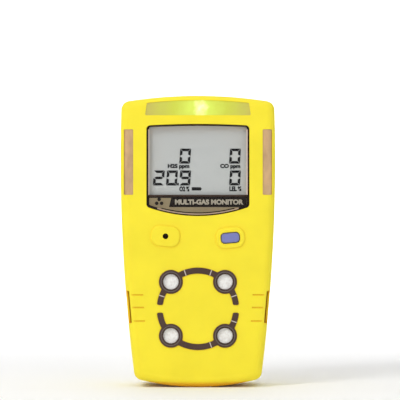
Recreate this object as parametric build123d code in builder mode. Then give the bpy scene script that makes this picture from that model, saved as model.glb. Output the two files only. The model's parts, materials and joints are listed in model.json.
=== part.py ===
"""Portable four-gas detector: a hand-sized yellow case that holds a display, four gas sensors and alarms,
with a sprung alligator clip on its back.

The frame is in millimetres. +X is to the right, +Z is up and the front of the case faces -Y.
The origin is at the middle of the bottom of the overall box. Depths are measured from the front face
of the case towards its back.
"""

import os
from math import cos, radians, sin

from build123d import *

# Case
case_height = 112.8
case_half_width = 30.0
case_depth = 28.0
wall = 2.2
widest_z = 88.0
side_radius = 650.0
top_radius = 175.0
bottom_radius = 92.0
top_corner_radius = 3.6
bottom_corner_radius = 3.6
edge_round = 3.2
parting_depth = 20.0
overcut = 0.5  # how far a cut runs past the surface it goes through
boss_root = 0.5  # how far a boss reaches into the wall it stands on
groove_width = 0.9
groove_depth = 1.0
tongue_width = 0.7
tongue_height = 0.4
seam_depth = 0.3
seam_half_width = 0.25

# How far the button stands in front of the face and the clip behind the back
button_proud = 1.1
clip_reach = 11.5
front_y = button_proud - (button_proud + case_depth + clip_reach) / 2
back_y = front_y + case_depth
inner_back_depth = case_depth - wall

# Fasteners
case_screws_xz = [(23.9, 105.0), (24.0, 66.0), (19.6, 9.2)]
boss_radius = 2.6
rear_boss_radius = 3.2
screw_radius = 1.15
screw_hole_radius = 1.4
screw_length = 8.6
screw_socket = 0.9
screw_tip_gap = 0.4
head_radius = 2.1
head_height = 1.4
counterbore_radius = 2.3
head_seat_depth = 24.6
insert_radius = 1.9
insert_length = 4.5
board_posts_xz = [(0.0, 30.4), (0.0, 57.0)]
board_post_radius = 2.5
board_screw_radius = 0.9
board_screw_length = 7.0
board_screw_head_radius = 1.8
display_posts_xz = [(-19.6, 54.4), (19.6, 54.4)]
display_post_radius = 1.6
display_screw_radius = 0.7
display_screw_length = 4.8
display_screw_head_radius = 1.4

# Grip of the face: short grooves on each side as (z, inner end x), and notches for the latches of a test cap
grip_grooves_zx = [(35.8, 21.1), (30.9, 20.8), (25.7, 20.4)]
grip_groove_width = 0.55
grip_groove_depth = 0.25
grip_groove_end = 1.3
notch_bottom_z = 24.7
notch_top_z = 37.4
notch_width = 0.9
notch_length = 6.0
latch_width = 1.4
latch_length = 8.0
latch_margin = 0.2
notch_backing_width = 3.4
notch_backing_length = 12.0
notch_backing_bottom_z = 22.6
notch_backing_top_z = 39.6

# Rear label
label_half_width = 16.0
label_bottom_z = 22.0
label_top_z = 50.0
label_seat = 0.2
label_thickness = 0.15

# Display window and what is behind it
window_half_width = 19.9
window_top_z = 101.8
window_top_radius = 330.0
window_bottom_z = 66.2
window_bottom_radius = 57.0
window_corner = 1.6
window_front_depth = 0.3
window_back_depth = 1.7
mask_back_depth = 1.85
ledge_depth = 2.0
ledge_width = 0.7
rib_depth = 3.2
rib_width = 1.6
view_half_width = 18.9
view_bottom_z = 74.4
view_top_z = 101.2
lcd_half_width = 20.0
lcd_bottom_z = 70.4
lcd_top_z = 103.6
lcd_front_depth = 3.4
lcd_back_depth = 5.2
lcd_gap = 0.1
lcd_frame_wall = 0.8
backlight_bottom_z = 73.0
backlight_back_depth = 8.4
lcd_strip_half_width = 18.0
lcd_strip_bottom_z = 70.8
lcd_strip_top_z = 72.6

# Display board, with wings that hold the side lights
display_board_depth = 8.6
board_thickness = 1.2
display_board_back_depth = display_board_depth + board_thickness
display_board_half_width = 20.9
display_board_bottom_z = 52.5
display_board_top_z = 108.5
wing_half_width = 27.1
wing_bottom_z = 76.0
wing_top_z = 98.0

# Alarm light windows
light_front_depth = 0.35
light_back_depth = 3.0
light_corner = 0.5
top_light_half_width = 20.4
top_light_bottom_z = 105.1
top_light_top_z = 111.0
top_light_slope = 98
side_light_middle_x = 26.8
side_light_width = 3.6
side_light_bottom_z = 74.4
side_light_top_z = 99.7
top_led_xz = (0.9, 107.0)
side_leds_xz = [(26.0, 80.0), (26.0, 94.0)]
led_length = 3.2
led_width = 1.6
led_height = 0.8

# Button and sounder
button_x = 12.5
button_z = 57.8
button_width = 6.9
button_height = 3.7
button_tilt = 5.0
button_travel = 0.6
button_gap = 0.3
pad_width = 10.4
pad_height = 7.2
pad_proud = 0.6
pad_slope = 45
flange_width = 1.0
flange_front_depth = 2.6
flange_back_depth = 3.4
plunger_radius = 1.2
plunger_tip_depth = 6.3
seal_width = 2.4
seal_hollow_width = 1.4
seal_back_depth = 3.8
switch_size = 6.0
switch_front_depth = 6.0
sounder_x = -12.5
sounder_z = 58.4
sounder_hole_radius = 1.1
sounder_radius = 6.0
sounder_port_radius = 1.2
sounder_gasket_radius = 5.0
membrane_radius = 2.7
membrane_thickness = 0.2
sounder_front_depth = 3.0

# Gas sensors
ring_z = 30.4
sensor_dx = 10.45
sensor_dz = 10.4
sensor_radius = 10.0
sensor_front_depth = 3.2
sensor_back_depth = 16.0
pin_circle_radius = 6.75
sensor_pin_radius = 0.75
sensor_rim = 1.0
sensor_rim_depth = 4.0
sensor_mouth_radius = 3.3
sensor_mouth_depth = 0.6
sensor_pin_end_depth = 18.2
socket_radius = 1.3
socket_gap = 0.2
gasket_radius = 9.0
trim_outer_radius = 15.9
trim_inner_radius = 13.6
trim_ring_radius = 4.6
trim_recess_radius = 3.75
trim_hole_radius = 2.95
trim_half_gap = 1.5
trim_proud = 0.3
trim_pocket = 0.9
port_radius = 3.1
filter_ring_radius = 2.35
filter_recess = 0.15
post_gap = 0.3

# Boards and power
main_board_depth = 18.5
main_board_half_width = 21.0
main_board_bottom_z = 12.5
main_board_top_z = 100.0
main_board_back_depth = 19.9
foot_half_width = 16.0
foot_bottom_z = 6.0
battery_front_depth = 21.2
battery_back_depth = 25.3
battery_half_width = 17.0
battery_bottom_z = 16.0
battery_top_z = 57.0
lead_x = -12.0
lead_pitch = 2.4
lead_radius = 0.45
connector_bottom_z = 64.0
connector_width = 6.0
connector_height = 4.0
connector_back_depth = 22.4

# Charging socket and the data link, in the bottom wall
port_depth = 15.4
port_width = 8.6
port_height = 4.6
port_corner = 0.8
socket_half_width = 5.4
socket_front_depth = 12.3
socket_bottom_z = 2.4
socket_ceiling_z = 9.0
socket_top_z = 10.8
contact_pitch = 2.0
contact_radius = 0.6
contact_height = 0.4
infrared_x = 10.6
infrared_radius = 1.6
infrared_window_bottom_z = 1.0
infrared_window_top_z = 3.2
infrared_module_width = 4.4
infrared_module_front_depth = 13.6
infrared_module_bottom_z = 3.8
infrared_module_top_z = 8.6
infrared_eye_radius = 1.2
infrared_eye_bottom_z = 3.4

# Vibrating motor
motor_z = 92.0
motor_depth = 14.6
motor_radius = 3.5
motor_left_x = -14.0
motor_right_x = -2.0
shaft_radius = 0.5
running_gap = 0.06
weight_radius = 3.0
weight_hub_radius = 1.3
weight_cut_z = 0.9
weight_gap = 1.2
weight_length = 3.6
shaft_inside = 2.4
shaft_length = 7.6
bracket_inset = 3.0
bracket_width = 6.0
bracket_sheet = 0.4
bracket_foot_half_height = 6.2

# Alligator clip
clip_half_width = 9.0
jaw_half_width = 7.6
sheet = 1.0
clip_recess = 0.5
clip_bottom_z = 60.0
clip_top_z = 104.0
hinge_z = 86.0
hinge_y = back_y + 5.2
pin_radius = 1.25
pin_head_radius = 1.75
pin_head_height = 0.6
ear_radius = 2.9
clip_screws_z = [70.0, 98.6]
clip_boss_front_depth = 21.4
clip_seat_depth = case_depth - clip_recess
clip_boss_floor = 0.8
clip_screw_length = 6.0
clip_corner = 2.0
clip_gap = 0.1
jaw_back_y = back_y + 8.6
jaw_bend_radius = 1.6
jaw_top_z = 107.8
jaw_corner = 3.0
tooth_count = 6
tooth_pitch = 2.4
tooth_radius = 1.1
tooth_top_z = 66.0
spring_radius = 2.2
spring_wire_radius = 0.4
spring_half_length = 3.0
spring_leg = 11.0
spring_start_angle = 191.0
spring_end_angle = -7.0
spring_turns = 6 - (spring_start_angle - spring_end_angle) / 360


def at_depth(depth):
    """A plane facing forwards, behind the front face by depth. Its x is X and its y is Z."""
    return Plane.XZ.offset(-(front_y + depth))


def across(x):
    """A plane facing right at x. Its x is Y and its y is Z."""
    return Plane.YZ.offset(x)


def mirrored(points):
    """The points and their mirror images in the middle plane."""
    return [(side * x, z) for x, z in points for side in (-1, 1)]


def side_x(z):
    """Half the width of the case at the height z."""
    return case_half_width - (z - widest_z) ** 2 / (2 * side_radius)


def write(piece, name):
    """Labels a finished piece and writes it to its own file."""
    piece.part.label = name
    export_step(piece.part, f"parts/{name}.step")


def case_face(inset=0.0):
    """The outline of the case, shrunk all round by inset: the space that four big circles have in common."""
    side_middle = side_radius - case_half_width
    with BuildSketch() as face:
        with Locations((side_middle, widest_z)):
            Circle(side_radius - inset)
        with Locations((-side_middle, widest_z)):
            Circle(side_radius - inset, mode=Mode.INTERSECT)
        with Locations((0, case_height - top_radius)):
            Circle(top_radius - inset, mode=Mode.INTERSECT)
        with Locations((0, bottom_radius)):
            Circle(bottom_radius - inset, mode=Mode.INTERSECT)
        fillet(face.vertices().group_by(Axis.Y)[-1], top_corner_radius - inset)
        fillet(face.vertices().group_by(Axis.Y)[0], bottom_corner_radius - inset)
    return face.sketch


def case_block(inset=0.0):
    """A solid with the outer shape of the case, shrunk on every side by inset."""
    with BuildPart() as block:
        with BuildSketch(at_depth(inset)):
            add(case_face(inset))
        extrude(amount=-(case_depth - 2 * inset))
        fillet(block.faces().sort_by(Axis.Y)[0].edges(), edge_round - inset)
        fillet(block.faces().sort_by(Axis.Y)[-1].edges(), edge_round - inset)
    return block.part


def ring_face(width):
    """A ring of this width that runs round the middle of the case wall."""
    with BuildSketch() as ring:
        add(case_face((wall - width) / 2))
        add(case_face((wall + width) / 2), mode=Mode.SUBTRACT)
    return ring.sketch


def seam_groove():
    """The fine groove that runs round the outside of the case where the two shells meet."""
    with BuildSketch() as ring:
        add(case_face(-overcut))
        add(case_face(seam_depth), mode=Mode.SUBTRACT)
    return prism(ring.sketch, parting_depth - seam_half_width, parting_depth + seam_half_width)


def window_face(inset=0.0):
    """The outline of the display window, shrunk all round by inset."""
    with BuildSketch() as face:
        with Locations((0, (window_bottom_z + window_top_z) / 2)):
            Rectangle(2 * (window_half_width - inset), window_top_z)
        with Locations((0, window_top_z - window_top_radius)):
            Circle(window_top_radius - inset, mode=Mode.INTERSECT)
        with Locations((0, window_bottom_z + window_bottom_radius)):
            Circle(window_bottom_radius - inset, mode=Mode.INTERSECT)
        fillet(face.vertices(), window_corner - inset)
    return face.sketch


def window_border(outer_inset, inner_inset):
    """A ring that follows the display window between two insets."""
    with BuildSketch() as ring:
        add(window_face(outer_inset))
        add(window_face(inner_inset), mode=Mode.SUBTRACT)
    return ring.sketch


def top_light_face():
    """The outline of the top light window: straight below, curved above and a little narrower below."""
    height = top_light_top_z - top_light_bottom_z
    with BuildSketch() as face:
        with Locations(Location((0, top_light_top_z), 180)):
            Trapezoid(2 * top_light_half_width, height, top_light_slope, align=(Align.CENTER, Align.MIN))
        with Locations((0, top_light_top_z - top_radius)):
            Circle(top_radius, mode=Mode.INTERSECT)
        fillet(face.vertices(), light_corner)
    return face.sketch


def side_light_face(side):
    """The outline of one side light window. side is -1 for the left and 1 for the right."""
    middle_z = (side_light_bottom_z + side_light_top_z) / 2
    with BuildSketch() as face:
        with Locations((side * side_light_middle_x, middle_z)):
            RectangleRounded(side_light_width, side_light_top_z - side_light_bottom_z, light_corner)
    return face.sketch


def trim_face(half):
    """The outline of a sensor trim, half a ring through two round pads. half is 1 above and -1 below."""
    with BuildSketch() as face:
        with Locations((0, ring_z)):
            Circle(trim_outer_radius)
            Circle(trim_inner_radius, mode=Mode.SUBTRACT)
        with Locations((0, ring_z + half * (trim_half_gap + trim_outer_radius / 2))):
            Rectangle(3 * trim_outer_radius, trim_outer_radius, mode=Mode.INTERSECT)
        with Locations(*[(x, ring_z + half * sensor_dz) for x in (-sensor_dx, sensor_dx)]):
            Circle(trim_ring_radius)
        fillet(face.vertices(), 0.6)
    return face.sketch


def button_face(grow=0.0):
    """The outline of the button, grown all round."""
    with BuildSketch() as face:
        with Locations(Location((button_x, button_z), button_tilt)):
            RectangleRounded(button_width + 2 * grow, button_height + 2 * grow, 1.35 + grow)
    return face.sketch


def board_face(half_width, bottom_z, top_z, corner=1.0):
    """A rounded rectangle across the middle plane."""
    with BuildSketch() as face:
        with Locations((0, (bottom_z + top_z) / 2)):
            RectangleRounded(2 * half_width, top_z - bottom_z, corner)
    return face.sketch


def lcd_face(grow=0.0):
    """The outline of the display glass, grown all round."""
    return board_face(lcd_half_width + grow, lcd_bottom_z - grow, lcd_top_z + grow, 0.3 + grow / 2)


def label_face(grow=0.0):
    """The outline of the rear label, grown all round."""
    return board_face(label_half_width + grow, label_bottom_z - grow, label_top_z + grow, 2.0 + grow)


def clip_plate_face(grow=0.0):
    """The outline of the plate that the clip stands on, grown all round."""
    return board_face(clip_half_width + grow, clip_bottom_z - grow, clip_top_z + grow, clip_corner + grow)


def port_face():
    """The slot that the charging plug goes into, seen from above."""
    with BuildSketch() as face:
        with Locations((0, front_y + port_depth)):
            RectangleRounded(port_width, port_height, port_corner)
    return face.sketch


def infrared_face():
    """The round window of the data link, seen from above."""
    with BuildSketch() as face:
        with Locations((infrared_x, front_y + port_depth)):
            Circle(infrared_radius)
    return face.sketch


def prism(face, front, back):
    """A face pushed from one depth to another."""
    with BuildPart() as solid:
        with BuildSketch(at_depth(front)):
            add(face)
        extrude(amount=-(back - front))
    return solid.part


def posts(points, radius, front, back):
    """Round posts or holes at points, from one depth to another."""
    with BuildPart() as solid:
        with BuildSketch(at_depth(front)):
            with Locations(*points):
                Circle(radius)
        extrude(amount=-(back - front))
    return solid.part


def blocks(points, width, height, front, back):
    """Square-edged blocks centred on points, from one depth to another."""
    with BuildPart() as solid:
        with BuildSketch(at_depth(front)):
            with Locations(*points):
                Rectangle(width, height)
        extrude(amount=-(back - front))
    return solid.part


def screws(points, radius, head, seat, length, height, socket):
    """Pan-head screws put in from the back: head outside the seat depth, shank in front of it."""
    with BuildPart() as solid:
        with BuildSketch(at_depth(seat - length)):
            with Locations(*points):
                Circle(radius)
        extrude(amount=-length)
        with BuildSketch(at_depth(seat)):
            with Locations(*points):
                Circle(head)
        extrude(amount=-height)
        chamfer(solid.edges().group_by(Axis.Y)[-1], height / 5)
        with BuildSketch(at_depth(seat + height)):
            with Locations(*points):
                RegularPolygon(socket, 6)
        extrude(amount=height * 0.6, mode=Mode.SUBTRACT)
    return solid.part


def face_pads():
    """Raised pads round the button and the sounder hole, with sloping sides and rounded edges."""
    with BuildPart() as pads:
        for x, z, tilt in ((button_x, button_z, button_tilt), (sounder_x, sounder_z, -button_tilt)):
            with BuildSketch(at_depth(-pad_proud)):
                with Locations(Location((x, z), tilt)):
                    RectangleRounded(pad_width, pad_height, 3.0)
            extrude(amount=-(pad_proud + wall / 2), taper=-pad_slope)
        fillet(pads.faces().group_by(Axis.Y)[0].edges(), 0.6)
    return pads.part


def side_blocks(front, back, inner, outer, bottom_z, top_z):
    """A block on each side that follows the slope of the side, between two distances inside it."""
    with BuildPart() as solid:
        with BuildSketch(at_depth(front)):
            for side in (-1, 1):
                with BuildLine():
                    Polyline(
                        (side * (side_x(bottom_z) - inner), bottom_z),
                        (side * (side_x(bottom_z) - outer), bottom_z),
                        (side * (side_x(top_z) - outer), top_z),
                        (side * (side_x(top_z) - inner), top_z),
                        close=True,
                    )
                make_face()
        extrude(amount=-(back - front))
    return solid.part


def grip_grooves():
    """Three shallow round-ended grooves on each side of the face, beside the sensor ring."""
    with BuildPart() as grooves:
        for z, inner_x in grip_grooves_zx:
            length = side_x(z) - grip_groove_end - inner_x
            with BuildSketch(at_depth(-overcut)):
                with Locations(*mirrored([(inner_x + length / 2, z)])):
                    SlotOverall(length, grip_groove_width)
            extrude(amount=-(overcut + grip_groove_depth))
    return grooves.part


def side_notches():
    """The notches that the latches of a test cap grip, one on each side, with a deeper slot in the middle."""
    with BuildPart() as notches:
        add(side_blocks(-overcut, notch_length, notch_width, -1, notch_bottom_z, notch_top_z))
        slot_bottom_z = notch_bottom_z + latch_margin
        slot_top_z = notch_top_z - latch_margin
        add(side_blocks(-overcut, latch_length, latch_width, notch_width - 0.1, slot_bottom_z, slot_top_z))
    return notches.part


def notch_backings():
    """Thicker walls inside the case behind the side notches."""
    return side_blocks(
        wall - 0.2,
        notch_backing_length,
        notch_backing_width,
        wall - 0.6,
        notch_backing_bottom_z,
        notch_backing_top_z,
    )


def light_face(name):
    """The outline of the alarm light window of this name."""
    if name == "top_light_window":
        return top_light_face()
    return side_light_face(-1 if name == "left_light_window" else 1)


def clip_ears(inner_x, radius, root_y):
    """Two sheet ears round the hinge, standing on the part of the clip that reaches root_y."""
    with BuildPart() as ears:
        for x in (inner_x, -inner_x - sheet):
            with BuildSketch(across(x)):
                with Locations((hinge_y, hinge_z)):
                    Circle(radius)
                with Locations(((hinge_y + root_y) / 2, hinge_z)):
                    Rectangle(abs(root_y - hinge_y), 2 * radius)
            extrude(amount=sheet)
    return ears.part


outer_block = case_block()
inner_block = case_block(wall)
light_block = case_block(light_front_depth)
light_names = ["top_light_window", "left_light_window", "right_light_window"]
case_screw_points = mirrored(case_screws_xz)
sensor_points = [(x, ring_z + z) for z in (sensor_dz, -sensor_dz) for x in (-sensor_dx, sensor_dx)]
clip_screw_points = [(0, z) for z in clip_screws_z]
button_point = [(button_x, button_z)]
sounder_point = [(sounder_x, sounder_z)]
os.makedirs("parts", exist_ok=True)

# Front shell: the face, its four walls and the posts that everything is fixed to
with BuildPart() as front_shell:
    add(outer_block)
    split(bisect_by=at_depth(parting_depth), keep=Keep.TOP)
    add(face_pads())
    add(inner_block, mode=Mode.SUBTRACT)
    add(prism(window_face(-rib_width), wall - 0.2, rib_depth))
    add(posts(case_screw_points, boss_radius, wall - boss_root, parting_depth))
    add(posts(board_posts_xz, board_post_radius, wall - boss_root, main_board_depth))
    add(posts(display_posts_xz, display_post_radius, wall - boss_root, display_board_depth))
    add(notch_backings())
    add(prism(window_face(), -overcut, ledge_depth), mode=Mode.SUBTRACT)
    add(prism(window_face(ledge_width), 0, rib_depth + overcut), mode=Mode.SUBTRACT)
    for light_name in light_names:
        add(prism(light_face(light_name), -overcut, light_back_depth), mode=Mode.SUBTRACT)
    for half in (1, -1):
        add(prism(trim_face(half), -overcut, trim_pocket), mode=Mode.SUBTRACT)
    add(posts(sensor_points, port_radius, 0, wall + overcut), mode=Mode.SUBTRACT)
    add(prism(button_face(button_gap), -pad_proud - overcut, wall + overcut), mode=Mode.SUBTRACT)
    add(posts(sounder_point, sounder_hole_radius, -pad_proud - overcut, wall + overcut), mode=Mode.SUBTRACT)
    add(grip_grooves(), mode=Mode.SUBTRACT)
    add(side_notches(), mode=Mode.SUBTRACT)
    insert_front_depth = parting_depth - insert_length
    board_hole_end = main_board_back_depth - board_screw_length - screw_tip_gap
    display_hole_end = display_board_back_depth - display_screw_length - screw_tip_gap
    add(posts(case_screw_points, insert_radius, insert_front_depth, parting_depth), mode=Mode.SUBTRACT)
    board_holes = posts(board_posts_xz, board_screw_radius, board_hole_end, main_board_depth)
    display_holes = posts(display_posts_xz, display_screw_radius, display_hole_end, display_board_depth)
    add(board_holes, mode=Mode.SUBTRACT)
    add(display_holes, mode=Mode.SUBTRACT)
    add(prism(ring_face(groove_width), parting_depth - groove_depth, parting_depth), mode=Mode.SUBTRACT)
    add(seam_groove(), mode=Mode.SUBTRACT)
    with BuildSketch(Plane.XY):
        add(port_face())
        add(infrared_face())
    extrude(amount=2 * wall, mode=Mode.SUBTRACT)
write(front_shell, "front_shell")

# Rear shell: the back, with counterbored screw bosses, the bosses of the clip and a shallow label seat
with BuildPart() as rear_shell:
    add(outer_block)
    split(bisect_by=at_depth(parting_depth), keep=Keep.BOTTOM)
    add(inner_block, mode=Mode.SUBTRACT)
    add(prism(ring_face(tongue_width), parting_depth - tongue_height, parting_depth))
    add(seam_groove(), mode=Mode.SUBTRACT)
    add(posts(case_screw_points, rear_boss_radius, parting_depth, inner_back_depth + boss_root))
    add(posts(clip_screw_points, rear_boss_radius, clip_boss_front_depth, inner_back_depth + boss_root))
    add(posts(case_screw_points, screw_hole_radius, parting_depth, case_depth), mode=Mode.SUBTRACT)
    add(posts(case_screw_points, counterbore_radius, head_seat_depth, case_depth), mode=Mode.SUBTRACT)
    add(prism(clip_plate_face(clip_gap), clip_seat_depth, case_depth + overcut), mode=Mode.SUBTRACT)
    clip_hole_depth = clip_boss_front_depth + clip_boss_floor
    add(posts(clip_screw_points, screw_radius, clip_hole_depth, case_depth), mode=Mode.SUBTRACT)
    add(prism(label_face(label_seat), case_depth - label_seat, case_depth + overcut), mode=Mode.SUBTRACT)
write(rear_shell, "rear_shell")

with BuildPart() as rear_label:
    label_front_depth = case_depth - label_seat
    add(prism(label_face(), label_front_depth, label_front_depth + label_thickness))
write(rear_label, "rear_label")

with BuildPart() as case_seal:
    add(prism(ring_face(groove_width), parting_depth - groove_depth, parting_depth - tongue_height))
write(case_seal, "case_seal")

with BuildPart() as case_screws:
    add(
        screws(
            case_screw_points,
            screw_radius,
            head_radius,
            head_seat_depth,
            screw_length,
            head_height,
            screw_socket,
        )
    )
write(case_screws, "case_screws")

with BuildPart() as screw_inserts:
    add(posts(case_screw_points, insert_radius, insert_front_depth, parting_depth))
    add(posts(case_screw_points, screw_radius, insert_front_depth, parting_depth), mode=Mode.SUBTRACT)
write(screw_inserts, "screw_inserts")

# Display window with its printed border and the adhesive ring that seals it to the shell
with BuildPart() as display_window:
    add(prism(window_face(0.1), window_front_depth, window_back_depth))
    chamfer(display_window.faces().sort_by(Axis.Y)[0].edges(), 0.15)
write(display_window, "display_window")

with BuildPart() as display_mask:
    add(prism(window_face(0.1), window_back_depth, mask_back_depth))
    view = board_face(view_half_width, view_bottom_z, view_top_z, 0.6)
    add(prism(view, window_back_depth, mask_back_depth), mode=Mode.SUBTRACT)
write(display_mask, "display_mask")

with BuildPart() as window_gasket:
    add(prism(window_border(0.05, ledge_width), mask_back_depth, ledge_depth))
write(window_gasket, "window_gasket")

# Display module: glass, backlight, frame and the rubber strip that connects the glass to the board
with BuildPart() as lcd_glass:
    add(prism(lcd_face(), lcd_front_depth, lcd_back_depth))
write(lcd_glass, "lcd_glass")

with BuildPart() as lcd_backlight:
    backlight = board_face(lcd_half_width - 0.2, backlight_bottom_z, lcd_top_z - 0.2, 0.5)
    add(prism(backlight, lcd_back_depth, backlight_back_depth))
write(lcd_backlight, "lcd_backlight")

with BuildPart() as lcd_frame:
    add(prism(lcd_face(lcd_gap + lcd_frame_wall), rib_depth + lcd_gap, display_board_depth))
    add(prism(lcd_face(lcd_gap), rib_depth, display_board_depth), mode=Mode.SUBTRACT)
write(lcd_frame, "lcd_frame")

with BuildPart() as lcd_connector:
    strip = board_face(lcd_strip_half_width, lcd_strip_bottom_z, lcd_strip_top_z, 0.2)
    add(prism(strip, lcd_back_depth, display_board_depth))
write(lcd_connector, "lcd_connector")

# Alarm light windows, which follow the rounded edge of the case just below its surface
for light_name in light_names:
    with BuildPart() as light_window:
        add(prism(light_face(light_name), 0, light_back_depth))
        add(light_block, mode=Mode.INTERSECT)
    write(light_window, light_name)

with BuildPart() as alarm_leds:
    led_front = display_board_depth - led_height
    add(blocks([top_led_xz], led_length, led_width, led_front, display_board_depth))
    add(blocks(mirrored(side_leds_xz), led_width, led_length, led_front, display_board_depth))
write(alarm_leds, "alarm_leds")

# Display board, with holes for the post that passes through it and for its screws
with BuildPart() as display_board:
    middle = board_face(display_board_half_width, display_board_bottom_z, display_board_top_z)
    wings = board_face(wing_half_width, wing_bottom_z, wing_top_z)
    front, back = display_board_depth, display_board_back_depth
    add(prism(middle, front, back))
    add(prism(wings, front, back))
    add(posts(board_posts_xz[1:], board_post_radius + post_gap, front, back), mode=Mode.SUBTRACT)
    add(posts(display_posts_xz, display_screw_radius + 0.1, front, back), mode=Mode.SUBTRACT)
write(display_board, "display_board")

with BuildPart() as display_screws:
    add(
        screws(
            display_posts_xz,
            display_screw_radius,
            display_screw_head_radius,
            display_board_back_depth,
            display_screw_length,
            height=0.9,
            socket=0.5,
        )
    )
write(display_screws, "display_screws")

# Button: cap with a retaining flange, the plunger behind it, the sealing boot and the switch
with BuildPart() as push_button:
    add(prism(button_face(), -button_proud, flange_back_depth))
    fillet(push_button.faces().sort_by(Axis.Y)[0].edges(), 0.5)
    add(prism(button_face(flange_width), flange_front_depth, flange_back_depth))
write(push_button, "push_button")

with BuildPart() as switch_plunger:
    add(posts(button_point, plunger_radius, flange_back_depth, plunger_tip_depth))
write(switch_plunger, "switch_plunger")

with BuildPart() as button_seal:
    add(prism(button_face(seal_width), wall, seal_back_depth))
    add(prism(button_face(seal_hollow_width), wall, flange_back_depth), mode=Mode.SUBTRACT)
    add(posts(button_point, plunger_radius + 0.4, wall, seal_back_depth), mode=Mode.SUBTRACT)
write(button_seal, "button_seal")

with BuildPart() as tact_switch:
    add(blocks(button_point, switch_size, switch_size, switch_front_depth, display_board_depth))
    well_end = plunger_tip_depth + button_travel + 0.4
    well = posts(button_point, plunger_radius + button_gap, switch_front_depth, well_end)
    add(well, mode=Mode.SUBTRACT)
write(tact_switch, "tact_switch")

# Sounder with its membrane and gasket
with BuildPart() as sounder:
    add(posts(sounder_point, sounder_radius, sounder_front_depth, display_board_depth))
    sound_hole_end = sounder_front_depth + 1.5
    add(posts(sounder_point, sounder_port_radius, sounder_front_depth, sound_hole_end), mode=Mode.SUBTRACT)
write(sounder, "sounder")

with BuildPart() as sounder_membrane:
    add(posts(sounder_point, membrane_radius, wall, wall + membrane_thickness))
write(sounder_membrane, "sounder_membrane")

with BuildPart() as sounder_gasket:
    add(posts(sounder_point, sounder_gasket_radius, wall, sounder_front_depth))
    add(posts(sounder_point, membrane_radius + 0.1, wall, sounder_front_depth), mode=Mode.SUBTRACT)
write(sounder_gasket, "sounder_gasket")

# Sensor trims, filters, seal, the four sensors and the pin sockets on the main board
for half, name in ((1, "upper_sensor_trim"), (-1, "lower_sensor_trim")):
    with BuildPart() as trim:
        add(prism(trim_face(half), -trim_proud, trim_pocket))
        fillet(trim.faces().sort_by(Axis.Y)[0].edges(), 0.2)
        pad_points = [(x, ring_z + half * sensor_dz) for x in (-sensor_dx, sensor_dx)]
        add(posts(pad_points, trim_recess_radius, -trim_proud, 0), mode=Mode.SUBTRACT)
        add(posts(pad_points, trim_hole_radius, 0, trim_pocket), mode=Mode.SUBTRACT)
    write(trim, name)

with BuildPart() as sensor_filters:
    add(posts(sensor_points, port_radius, trim_pocket, wall))
    recess_end = trim_pocket + filter_recess
    add(posts(sensor_points, filter_ring_radius, trim_pocket, recess_end), mode=Mode.SUBTRACT)
write(sensor_filters, "sensor_filters")

with BuildPart() as sensor_gasket:
    add(posts(sensor_points, gasket_radius, wall, sensor_front_depth))
    add(blocks([(0, ring_z)], 2 * sensor_dx, 2 * sensor_dz, wall, sensor_front_depth))
    add(posts(sensor_points, sensor_mouth_radius, wall, sensor_front_depth), mode=Mode.SUBTRACT)
    add(posts(board_posts_xz[:1], board_post_radius + post_gap, wall, sensor_front_depth), mode=Mode.SUBTRACT)
write(sensor_gasket, "sensor_gasket")


def pin_points(x, z):
    """The three pins behind a sensor."""
    angles = [radians(angle) for angle in (90, 210, 330)]
    return [(x + pin_circle_radius * cos(angle), z + pin_circle_radius * sin(angle)) for angle in angles]


for point, name in zip(sensor_points, ("o2_sensor", "lel_sensor", "co_sensor", "h2s_sensor")):
    with BuildPart() as sensor:
        add(posts([point], sensor_radius, sensor_rim_depth, sensor_back_depth))
        add(posts([point], sensor_radius - sensor_rim, sensor_front_depth, sensor_rim_depth))
        mouth_end = sensor_front_depth + sensor_mouth_depth
        add(posts([point], sensor_mouth_radius, sensor_front_depth, mouth_end), mode=Mode.SUBTRACT)
        add(posts(pin_points(*point), sensor_pin_radius, sensor_back_depth, sensor_pin_end_depth))
    write(sensor, name)

with BuildPart() as sensor_sockets:
    all_pins = [pin for point in sensor_points for pin in pin_points(*point)]
    add(posts(all_pins, socket_radius, sensor_back_depth + socket_gap, main_board_depth))
    add(posts(all_pins, sensor_pin_radius, sensor_back_depth, main_board_depth), mode=Mode.SUBTRACT)
write(sensor_sockets, "sensor_sockets")

# Main board with its parts
with BuildPart() as main_board:
    front, back = main_board_depth, main_board_back_depth
    add(prism(board_face(main_board_half_width, main_board_bottom_z, main_board_top_z), front, back))
    add(prism(board_face(foot_half_width, foot_bottom_z, 2 * main_board_bottom_z), front, back))
    add(posts(board_posts_xz, board_screw_radius + 0.1, front, back), mode=Mode.SUBTRACT)
write(main_board, "main_board")

with BuildPart() as board_screws:
    add(
        screws(
            board_posts_xz,
            board_screw_radius,
            board_screw_head_radius,
            main_board_back_depth,
            board_screw_length,
            height=1.0,
            socket=0.6,
        )
    )
write(board_screws, "board_screws")

with BuildPart() as board_chips:
    add(blocks([(10.0, 80.0)], 8.0, 8.0, main_board_depth - 1.2, main_board_depth))
    add(blocks([(-12.0, 68.0), (12.0, 66.0)], 5.0, 5.0, main_board_depth - 1.0, main_board_depth))
    add(blocks([(-12.0, 82.0), (12.0, 92.0)], 6.0, 4.0, main_board_back_depth, main_board_back_depth + 1.0))
write(board_chips, "board_chips")

with BuildPart() as board_header:
    add(blocks([(0, 65.5)], 12.0, 3.0, display_board_back_depth, main_board_depth))
write(board_header, "board_header")

# Vibrating motor: a can held to the main board, and a lopsided weight on its shaft
motor_y = front_y + motor_depth
with BuildPart() as motor_can:
    with BuildSketch(across(motor_left_x)):
        with Locations((motor_y, motor_z)):
            Circle(motor_radius)
    extrude(amount=motor_right_x - motor_left_x)
    fillet(motor_can.edges(), 0.4)
    with BuildSketch(across(motor_right_x - shaft_inside - overcut)):
        with Locations((motor_y, motor_z)):
            Circle(shaft_radius + running_gap)
    extrude(amount=shaft_inside + overcut, mode=Mode.SUBTRACT)
write(motor_can, "motor_can")

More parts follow.
